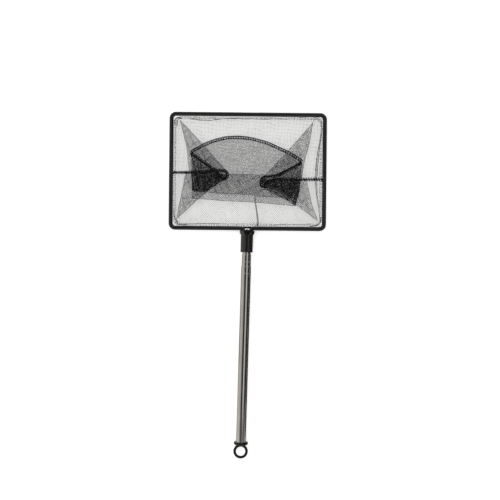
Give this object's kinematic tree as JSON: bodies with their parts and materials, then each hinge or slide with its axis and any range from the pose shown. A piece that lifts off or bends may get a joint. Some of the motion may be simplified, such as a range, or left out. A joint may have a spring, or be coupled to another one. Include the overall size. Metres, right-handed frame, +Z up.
{
  "type": "hand net",
  "caption": "Rectangular framed hand net of fine black mesh, folded flat in its rim, on a telescopic steel handle with a ribbed socket and a hanging ring.",
  "frame": {"origin": "middle of the underside of the object's box, as it lies on a table on its collar and end flange", "axes": "+Y along the handle towards the rim, +Z up out of the net's mouth, +X to the right seen from above"},
  "size_m": [0.2026, 0.4416, 0.0182],
  "materials": {
    "wire_steel": "drawn",
    "rim_vinyl": "gloss",
    "hem_tape": "knitted",
    "sewing_thread": "twisted",
    "net_mesh": "knitted",
    "socket_plastic": "moulded",
    "tube_steel": "polished",
    "bush_brass": "rolled",
    "cap_plastic": "moulded"
  },
  "bodies": {
    "grip": {"outer_tube": "tube_steel", "end_cap": "cap_plastic"},
    "middle_bush_ring": {"middle_bush": "bush_brass"},
    "middle_section": {"middle_tube": "tube_steel"},
    "inner_bush_ring": {"inner_bush": "bush_brass"},
    "net_head": {"inner_tube": "tube_steel", "socket": "socket_plastic", "rim_wire": "wire_steel", "rim_coating": "rim_vinyl", "net_hem": "hem_tape", "hem_stitches": "sewing_thread", "net_far_panel": "net_mesh", "net_near_panel": "net_mesh", "bag_seam": "sewing_thread"}
  },
  "joints": [
    {"name": "middle_slide", "type": "slide", "parent": "grip", "child": "middle_bush_ring", "axis": [0, 1, 0], "range_m": [0, 0.18]},
    {"name": "middle_twist", "type": "hinge", "parent": "middle_bush_ring", "child": "middle_section", "pos_m": [0.00151, 0, 0.0091], "axis": [0, 1, 0], "continuous": true},
    {"name": "inner_slide", "type": "slide", "parent": "middle_section", "child": "inner_bush_ring", "axis": [0, 1, 0], "range_m": [0, 0.18]},
    {"name": "inner_twist", "type": "hinge", "parent": "inner_bush_ring", "child": "net_head", "pos_m": [0.00151, 0, 0.0091], "axis": [0, 1, 0], "continuous": true}
  ]
}
